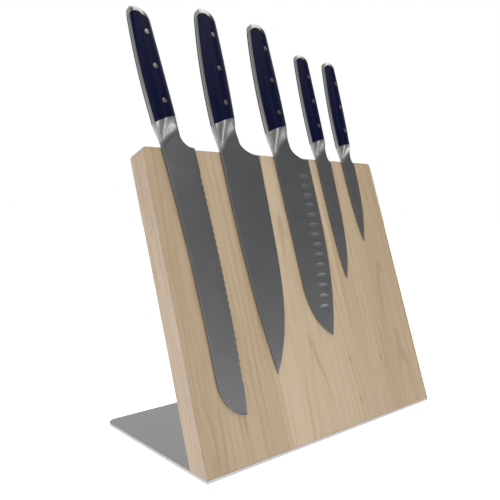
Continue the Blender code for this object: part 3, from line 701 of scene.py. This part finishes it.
knives = {
    "bread_knife": dict(
        spineX=17.3, length=226.0, heelWidth=33.5, heelAt=-1.0, choilWidth=12.8, choilDrop=11.0,
        spineBow=7.7, spineBowEnd=165.0, spineDrop=0.0, spinePower=2.0,
        edgeBow=3.0, edgeBowEnd=120.0, edgeTaper=0.0, edgeBelly=5.3, edgePower=5.8,
        noseWidth=23.6, noseLength=31.0, noseShort=31.0, thick=2.2,
        handle=124.6, half=8.0, neck=24.0,
        spineLine=(14.35, 11.14, 10.77), bellyLine=(35.76, 32.75, 29.46),
        jointSpine=19.8, jointBelly=26.6, crescent=18.6, buttLeft=2.5, buttRight=8.5,
        toothPitch=6.0, toothDeep=1.25, toothFrom=22.0, toothShort=24.0),
    "chef_knife": dict(
        spineX=78.2, length=201.0, heelWidth=45.8, heelAt=1.2, choilWidth=21.8, choilDrop=13.2,
        spineBow=0.0, spineBowEnd=100.0, spineDrop=11.8, spinePower=2.7,
        edgeBow=0.0, edgeBowEnd=100.0, edgeTaper=8.0, edgeBelly=26.0, edgePower=5.2,
        noseWidth=0.0, thick=2.4,
        handle=139.6, half=8.5, neck=25.0,
        spineLine=(76.53, 77.51, 82.62), bellyLine=(100.16, 102.54, 102.92),
        jointSpine=24.2, jointBelly=31.6, crescent=23.5, buttLeft=2.7, buttRight=9.0,
        toothDeep=0.0),
    "santoku_knife": dict(
        spineX=143.4, length=178.6, heelWidth=46.9, heelAt=2.0, choilWidth=22.6, choilDrop=14.0,
        spineBow=0.0, spineBowEnd=100.0, spineDrop=0.0, spinePower=2.0,
        edgeBow=0.0, edgeBowEnd=100.0, edgeTaper=2.0, edgeBelly=19.9, edgePower=3.5,
        noseWidth=38.0, noseLength=53.95, noseShort=50.8, thick=2.2,
        handle=139.0, half=8.5, neck=25.0,
        spineLine=(142.02, 142.33, 146.98), bellyLine=(166.21, 167.57, 167.3),
        jointSpine=23.3, jointBelly=30.4, crescent=22.5, buttLeft=2.7, buttRight=9.0,
        toothDeep=0.0),
    "utility_knife": dict(
        spineX=202.5, length=126.7, heelWidth=22.5, heelAt=2.6, choilWidth=4.6, choilDrop=8.6,
        spineBow=0.0, spineBowEnd=100.0, spineDrop=4.5, spinePower=5.0,
        edgeBow=0.0, edgeBowEnd=100.0, edgeTaper=6.0, edgeBelly=12.0, edgePower=4.8,
        noseWidth=0.0, thick=1.8,
        handle=116.4, half=6.5, neck=20.0,
        spineLine=(201.7, 202.72, 206.19), bellyLine=(220.19, 221.75, 222.7),
        jointSpine=16.7, jointBelly=21.5, crescent=15.0, buttLeft=2.2, buttRight=7.0,
        toothDeep=0.0),
    "paring_knife": dict(
        spineX=242.5, length=89.1, heelWidth=20.6, heelAt=2.0, choilWidth=4.0, choilDrop=7.0,
        spineBow=0.0, spineBowEnd=100.0, spineDrop=5.5, spinePower=3.0,
        edgeBow=0.0, edgeBowEnd=100.0, edgeTaper=3.5, edgeBelly=11.6, edgePower=3.1,
        noseWidth=0.0, thick=1.8,
        handle=115.7, half=6.5, neck=20.0,
        spineLine=(242.17, 244.33, 249.51), bellyLine=(260.1, 263.47, 264.95),
        jointSpine=15.4, jointBelly=19.0, crescent=12.8, buttLeft=2.2, buttRight=6.5,
        toothDeep=0.0),
}
hollows = {                     # ovals ground along the santoku's edge
    "first": 20.0, "pitch": 10.1, "count": 14, "inset": 12.5,
    "halfAcross": 6.9, "halfAlong": 2.7, "deep": 0.3,
}


teeth = {"grindDeep": 0.22, "grindRun": 3.4}    # near face ground away between the bread knife's points
paintedRimShade = {"near": 0.95, "far": 0.40}          # how dark the painted shade on the thin outline of each side is


def ease(t):
    t = min(max(t, 0.0), 1.0)
    return t * t * (3 - 2 * t)


def handleLine(k, values, t):
    start, end = k["neck"], k["handle"] - grip["buttStation"]
    middle = (start + end) / 2
    a = (values[1] - values[0]) / (middle - start)
    b = (values[2] - values[1]) / (end - middle)
    return values[0] + a * (t - start) + (b - a) / (end - start) * (t - start) * (t - middle)


def bow(k, side, s):
    return k[side + "Bow"] * (1 - (1 - min(max(s, 0.0) / k[side + "BowEnd"], 1.0)) ** 2)


def bladeSpine(k, s):
    u = min(max(s / k["length"], 0.0), 1.0)
    x = k["spineX"] + k["spineDrop"] * u ** k["spinePower"] + bow(k, "spine", s)
    if k["noseWidth"]:
        past = s - k["length"] + k["noseShort"]
        d = min(max(past / k["noseLength"], 0.0), 1.0)
        x += k["noseWidth"] * (1 - math.sqrt(1 - d * d))
    return x


def bladeEdge(k, s):
    u = min(max(s / k["length"], 0.0), 1.0)
    x = k["spineX"] + k["heelWidth"] - k["edgeTaper"] * u - k["edgeBelly"] * u ** k["edgePower"]
    return x + bow(k, "edge", s)


def spineLine(k, s):
    neck = -k["neck"]
    if s <= neck:
        return handleLine(k, k["spineLine"], -s)
    return k["spineLine"][0] + (bladeSpine(k, s) - k["spineLine"][0]) * ease((s - neck) / -neck)


def bellyLine(k, s):
    # Handle's lower outline, then the hollow under the bolster, then the cutting edge
    heelX = k["spineX"] + k["heelWidth"]
    choilX = heelX - k["choilWidth"]
    choilAt = k["heelAt"] - k["choilDrop"]
    neck = -k["neck"]
    if s >= k["heelAt"]:
        return bladeEdge(k, s)
    if s >= choilAt:
        d = (s - choilAt) / k["choilDrop"]
        return heelX - k["choilWidth"] * math.sqrt(max(1 - d * d, 0.0))
    if s <= neck:
        return handleLine(k, k["bellyLine"], -s)
    return k["bellyLine"][0] + (choilX - k["bellyLine"][0]) * ease((s - neck) / (choilAt - neck))


def middlePlane(k):
    # Height of a knife's middle plane above the board's face
    return grip["cadGap"] + k["thick"] / 2


def crown(a):
    # Half thickness of the handle across its width, as a share of its middle
    return grip["side"] + (1 - grip["side"]) * (1 - abs(2 * a - 1) ** grip["round"])


def buttLine(k, a):
    # Rounded at the spine, then slanting down to the belly
    nose = grip["nose"]
    if a < nose:
        d = (nose - a) / nose
        return -k["handle"] + k["buttLeft"] * (1 - math.sqrt(1 - d * d))
    d = min((a - nose) / (1 - nose), 1.0)
    return -k["handle"] + k["buttRight"] * (0.8 * d ** 1.25 + 0.2 * (1 - math.sqrt(1 - d * d)))


def capJoint(k, a, gaps=0.0):
    # Joint between cap and scales: highest near the spine, lower on the belly side
    nose = grip["nose"]
    fall = grip["capFall"] * ease((a - nose) / grip["capRun"])
    curl = grip["capCurl"] * max(0.0, (nose - a) / nose) ** 2
    return -k["handle"] + k["half"] * (grip["capDeep"] + (fall + curl)) + 1.15 * gaps * grip["seam"]


def scaleJoint(k, a, gaps=0.0):
    # Slanted joint between scales and bolster
    return -(k["jointSpine"] + (k["jointBelly"] - k["jointSpine"]) * a) - 1.1 * gaps * grip["seam"]


def crescent(k, a):
    nearSpine = min(k["heelAt"], 1.2) - grip["toHeel"]
    return nearSpine - (k["crescent"] + nearSpine) * (1 - (1 - a) ** 2)


def acrossShares(count, corner=0.012):
    # Places across a piece, closer together at its two rims
    inner = [(1 - math.cos(math.pi * i / count)) / 2 for i in range(count + 1)]
    shares = [corner + (1 - 2 * corner) * share for share in inner]
    return [0.0, corner / 4] + shares + [1 - corner / 4, 1.0]


def wrapSheet(shares, rows, placePoint, layers=()):
    # A grid doubled into two sides and closed round its rim, laid out by placePoint(share, row, second)
    bm = bmesh.new()
    marks = [bm.verts.layers.float.new(name) for name in layers]
    bmesh.ops.create_grid(bm, x_segments=len(shares) - 1, y_segments=rows - 1, size=0.5)
    second = set(newVerts(bmesh.ops.extrude_face_region(bm, geom=bm.faces[:])))
    for vert in bm.verts:
        share = shares[round((vert.co.x + 0.5) * (len(shares) - 1))]
        row = round((vert.co.y + 0.5) * (rows - 1))
        x, s, h, values = placePoint(share, row, vert in second)
        vert.co = (x * mm - boardWidth / 2, boardHeight - s * mm, h * mm)
        for mark, value in zip(marks, values):
            vert[mark] = value
    bmesh.ops.transform(bm, matrix=boardMatrix, verts=bm.verts)
    return bm


def bladeRows(k):
    # Each row across the forging, as a line along it for a share across: tang, bolster, choil, blade
    rows = []
    for i in range(19):
        t = i / 18
        rows.append(("tang", lambda a, t=t: capJoint(k, a, 1) * (1 - t) + scaleJoint(k, a) * t))

    def joint(a):
        return scaleJoint(k, a) + 0.02
    rows.append(("bolster", joint))
    first = 8
    for i in range(1, first + 1):
        rows.append(("bolster", lambda a, t=i / first: joint(a) * (1 - t) + (crescent(k, a) - 6.0) * t))
    for i in range(1, 25):
        rows.append(("bolster", lambda a, d=i * 0.25: crescent(k, a) - 6.0 + d))
    choilAt = k["heelAt"] - k["choilDrop"]
    low = crescent(k, 1.0)
    for degrees in (-40, -30, -20, -10, 0, 8, 16, 24, 32, 40, 48, 56, 63, 70, 77, 83, 90):
        reach = choilAt + k["choilDrop"] * math.sin(math.radians(degrees))
        if degrees < 0:
            reach = low + (choilAt - low) * (degrees + 50) / 50
        t = (reach - low) / (k["heelAt"] - low)
        if t > 0.02:
            rows.append(("bolster", lambda a, t=t: crescent(k, a) + (k["heelAt"] - crescent(k, a)) * t))
    start, end = k["heelAt"], k["length"] - 0.05
    stops = [start + (1.0 + i) for i in range(12)]
    if k["toothDeep"]:
        step = k["toothPitch"] / 10
        stops += [k["toothFrom"] + step * i for i in range(int((end - k["toothFrom"] - 8) / step))]
    elif k is knives["santoku_knife"]:
        stops += [stops[-1] + 0.5 * (i + 1) for i in range(int((end - stops[-1] - 12) / 0.5))]
    else:
        stops += [stops[-1] + 3.0 * (i + 1) for i in range(int((end - stops[-1] - 14) / 3.0))]
    last = stops[-1]
    stops += [end - (end - last) * (1 - i / 16) ** 1.8 for i in range(1, 17)]
    for stop in stops:
        rows.append(("blade", lambda a, stop=stop: stop))
    return rows


def buildBlade(name, k):
    middle = middlePlane(k)
    rows = bladeRows(k)
    teethEnd = k["length"] - k.get("toothShort", 0.0)
    spots = []
    if name == "santoku_knife":
        spots = [hollows["first"] + hollows["pitch"] * i for i in range(hollows["count"])]

    def flat(a, x, s):
        # Ground wedge: full at the spine, thin at the edge, thinner towards the tip
        taper = 1 - 0.45 * ease(s / k["length"])
        ground = (x - bladeSpine(k, s)) / max(bladeEdge(k, s) - bladeSpine(k, s), 0.5)
        ground = min(max(ground, 0.0), 1.0)
        half = k["thick"] / 2 * taper * (1 - ground) + grip["edge"] / 2 * ground
        if s > k["heelAt"] - 2:
            half *= min(1.0, 0.35 + (1 - a) / 0.03 * 0.65)
        return half

    def placeBlade(a, index, second):
        kind, line = rows[index]
        s = line(a)
        left = spineLine(k, s)
        right = max(bellyLine(k, s), left + 0.5)
        tooth = 0.0
        if k["toothDeep"] and k["toothFrom"] <= s <= teethEnd:
            tooth = abs(math.sin(math.pi * (s - k["toothFrom"]) / k["toothPitch"]))
            right -= k["toothDeep"] * tooth
        x = left + (right - left) * a
        lap = 0.0
        rim = 0.0
        # Painted shade on the spine and edge faces, stronger on the near side
        if a < 0.002 or a > 0.998:
            rim = paintedRimShade["far" if second else "near"]
        if kind == "tang":
            half, polish = grip["tang"] * k["half"], 0.5
        else:
            full = k["half"] * crown(a)
            low = flat(a, x, s)
            start = scaleJoint(k, a)
            ridge = crescent(k, a) - 0.75
            if second:
                t = min(max((s - start) / (ridge + grip["farRun"] - start), 0.0), 1.0)
                half = low + (full - low) * (1 - t * t) ** 1.4
            elif s <= ridge:
                t = min(max((s - start) / max(ridge - start, 0.1), 0.0), 1.0)
                half = full * (1 - (1 - grip["ridge"]) * t ** 1.6)
            else:
                t = min((s - ridge) / grip["fillet"], 1.0)
                half = low + (full * grip["ridge"] - low) * (1 - t) ** 2.4
            half *= min(1.0, 0.90 + min(a, 0.012) / 0.012 * 0.1)
            polish = 1.0 - ease((s - ridge + 0.2) / 0.9)
        if not second and tooth:
            inFromEdge = (right - x) / teeth["grindRun"]
            if inFromEdge < 1:
                half -= teeth["grindDeep"] * (1 - inFromEdge) * tooth * min(1.0, half / 0.5)
        if not second:
            for spot in spots:
                if abs(s - spot) < hollows["halfAlong"]:
                    off = (x - bladeEdge(k, spot) + hollows["inset"]) / hollows["halfAcross"]
                    inside = 1 - ((s - spot) / hollows["halfAlong"]) ** 2 - off * off
                    if inside > 0:
                        half -= hollows["deep"] * inside
                        lap = min(1.0, inside * 3)
        return x, s, middle + (-half if second else half), (polish, lap, rim)

    count = 40 if (k["toothDeep"] or spots) else 30
    bm = wrapSheet(acrossShares(count), len(rows), placeBlade, ("polish", "lap", "rim"))
    addPiece(name + "_forging", bm, bladeSteel, name, name + "_blade", 38.0)


def buildScales(name, k):
    middle = middlePlane(k)
    rows = 33
    for sideName, sign in (("near", 1), ("far", -1)):
        def placeScale(a, index, second, sign=sign):
            t = index / (rows - 1)
            s = capJoint(k, a, 1) * (1 - t) + scaleJoint(k, a, 1) * t
            left, right = spineLine(k, s), bellyLine(k, s)
            outer = k["half"] * crown(a)
            inner = grip["tang"] * k["half"] + grip["seam"]
            if index in (0, rows - 1):
                outer -= grip["endLip"]
            h = outer if second else inner
            return left + (right - left) * a, s, middle + sign * h, ()
        bm = wrapSheet(acrossShares(30), rows, placeScale)
        scaleName = "%s_%s_scale" % (name, sideName)
        addPiece("%s_%s_grip" % (name, sideName), bm, handleBlue, name, scaleName, 50.0)


def buildCap(name, k):
    middle = middlePlane(k)
    steps = 18

    def placeCap(a, index, second):
        t = (index / steps) ** 1.6
        s = buttLine(k, a) * (1 - t) + capJoint(k, a) * t
        left, right = spineLine(k, s), bellyLine(k, s)
        rise = math.sqrt(1 - (1 - min(t / 0.6, 1.0)) ** 2)
        half = k["half"] * crown(a) * (grip["side"] + (1 - grip["side"]) * rise)
        if index == steps:
            half -= grip["endLip"]
        return left + (right - left) * a, s, middle + (-half if second else half), ()

    bm = wrapSheet(acrossShares(30), steps + 1, placeCap)
    addPiece(name + "_butt_cap", bm, capSteel, name, name + "_end_cap", 50.0)


def buildRivet(name, k, number):
    # Pin through the handle, ground to follow its surface, with a fine chamfer round each head
    nodeName = "%s_rivet_%d" % (name, number)
    low, high = boardBox(nodeName)
    radius = (high.x - low.x) / 2
    centre = (low + high) / 2
    rings = [(1.0, -0.15), (0.95, 0.03), (0.75, 0.06), (0.5, 0.08), (0.25, 0.09)]
    points = [(0, -1.09 * mm)] + [(radius * r, -(1.0 + h) * mm) for r, h in reversed(rings)]
    points += [(radius * r, (1.0 + h) * mm) for r, h in rings] + [(0, 1.09 * mm)]
    bm = turnedMesh(points, 48)
    for vert in bm.verts:
        s = (boardHeight - centre.y - vert.co.y) / mm
        left, right = spineLine(k, s), bellyLine(k, s)
        share = ((centre.x + vert.co.x + boardWidth / 2) / mm - left) / (right - left)
        vert.co.z += math.copysign(k["half"] * crown(share) * mm - 1.0 * mm, vert.co.z)
    middle = middlePlane(k) * mm
    bmesh.ops.translate(bm, vec=(centre.x, centre.y, middle), verts=bm.verts)
    bmesh.ops.transform(bm, matrix=boardMatrix, verts=bm.verts)
    addPiece("%s_pin_%d" % (name, number), bm, rivetSteel, name, nodeName)


for knifeName, knife in knives.items():
    buildBlade(knifeName, knife)
    buildScales(knifeName, knife)
    buildCap(knifeName, knife)
    for number in (1, 2, 3):
        buildRivet(knifeName, knife, number)
    print("knife made:", knifeName)


scene = bpy.context.scene
scene.view_settings.view_transform = "Standard"
view = {
    "place": (-0.38629, -0.40924, 0.2058),
    "tilt": 83.62,
    "turn": -40.67,
    "lens": 41.461,             # mm on a 36 mm sensor
    "shift": 0.0449,
}
cameraData = bpy.data.cameras.new("camera")
cameraData.lens = view["lens"]
cameraData.sensor_width = 36.0
cameraData.shift_y = view["shift"]
camera = bpy.data.objects.new("camera", cameraData)
camera.location = view["place"]
camera.rotation_euler = (math.radians(view["tilt"]), 0, math.radians(view["turn"]))
bpy.context.collection.objects.link(camera)
scene.camera = camera

floorBm = bmesh.new()
bmesh.ops.create_grid(floorBm, x_segments=1, y_segments=1, size=6.0)
floorFinish = Finish("floor", (0.9, 0.9, 0.9), 0.9, 0.0, Emission_Color=(1, 1, 1, 1), Emission_Strength=1.0)
floor = addPiece("floor", floorBm, floorFinish.material, None, None)

world = bpy.data.worlds.new("studio")
world.use_nodes = True
scene.world = world
tree = world.node_tree
background = tree.nodes["Background"]
coordinates = tree.nodes.new("ShaderNodeTexCoord")
parts = tree.nodes.new("ShaderNodeSeparateXYZ")
tree.links.new(coordinates.outputs["Generated"], parts.inputs[0])
height = tree.nodes.new("ShaderNodeMapRange")
height.inputs["From Min"].default_value = -1.0
tree.links.new(parts.outputs["Z"], height.inputs["Value"])


def skyRamp(stops):
    ramp = tree.nodes.new("ShaderNodeValToRGB")
    for index, (place, tone) in enumerate(stops):
        stop = ramp.color_ramp.elements[index] if index < 2 else ramp.color_ramp.elements.new(place)
        stop.position = place
        stop.color = (tone, tone, tone, 1.0)
    tree.links.new(height.outputs[0], ramp.inputs[0])
    return ramp.outputs[0]


# Pale behind the object, dim in front of it where the room lies
backSky = skyRamp([(0.0, 1.0), (0.49, 1.0), (0.53, 0.80), (0.57, 0.56),
                   (0.62, 0.58), (0.74, 0.58), (1.0, 0.55)])
frontSky = skyRamp([(0.0, 0.8), (0.49, 0.45), (0.55, 0.27), (0.62, 0.20),
                    (0.70, 0.13), (0.78, 0.09), (0.86, 0.12), (1.0, 0.40)])
turnToBack = tree.nodes.new("ShaderNodeMapRange")
turnToBack.inputs["From Min"].default_value = -0.35
turnToBack.inputs["From Max"].default_value = 0.35
tree.links.new(parts.outputs["Y"], turnToBack.inputs["Value"])
sky = tree.nodes.new("ShaderNodeMix")
sky.data_type = "RGBA"
tree.links.new(turnToBack.outputs[0], sky.inputs[0])
tree.links.new(frontSky, sky.inputs[6])
tree.links.new(backSky, sky.inputs[7])
rays = tree.nodes.new("ShaderNodeLightPath")
seen = tree.nodes.new("ShaderNodeMix")
seen.data_type = "RGBA"
seen.inputs[7].default_value = (1.0, 1.0, 1.0, 1.0)
tree.links.new(rays.outputs["Is Camera Ray"], seen.inputs[0])
tree.links.new(sky.outputs[2], seen.inputs[6])
tree.links.new(seen.outputs[2], background.inputs["Color"])


def softBox(name, direction, distance, wide, tall, power):
    # A large soft lamp that faces the middle of the object
    lamp = bpy.data.lights.new(name, "AREA")
    lamp.shape = "RECTANGLE"
    lamp.size, lamp.size_y = wide, tall
    lamp.energy = power
    place = bpy.data.objects.new(name, lamp)
    aim = (cadBox[0] + cadBox[1]) / 2
    way = Vector(direction).normalized()
    place.location = aim + way * distance
    place.rotation_euler = way.to_track_quat("Z", "Y").to_euler()
    bpy.context.collection.objects.link(place)


softBox("top", (0.02, -0.12, 1.0), 2.0, 2.4, 2.2, 26.0)
softBox("side", (-0.84, 0.42, 0.34), 1.8, 0.7, 1.2, 1.2)
softBox("edge_light", (-0.70, -0.52, 0.40), 1.9, 0.34, 2.2, 4.2)
softBox("band_light", (0.23, -0.84, 0.42), 1.9, 0.34, 2.2, 3.0)
print("camera, floor and light set")
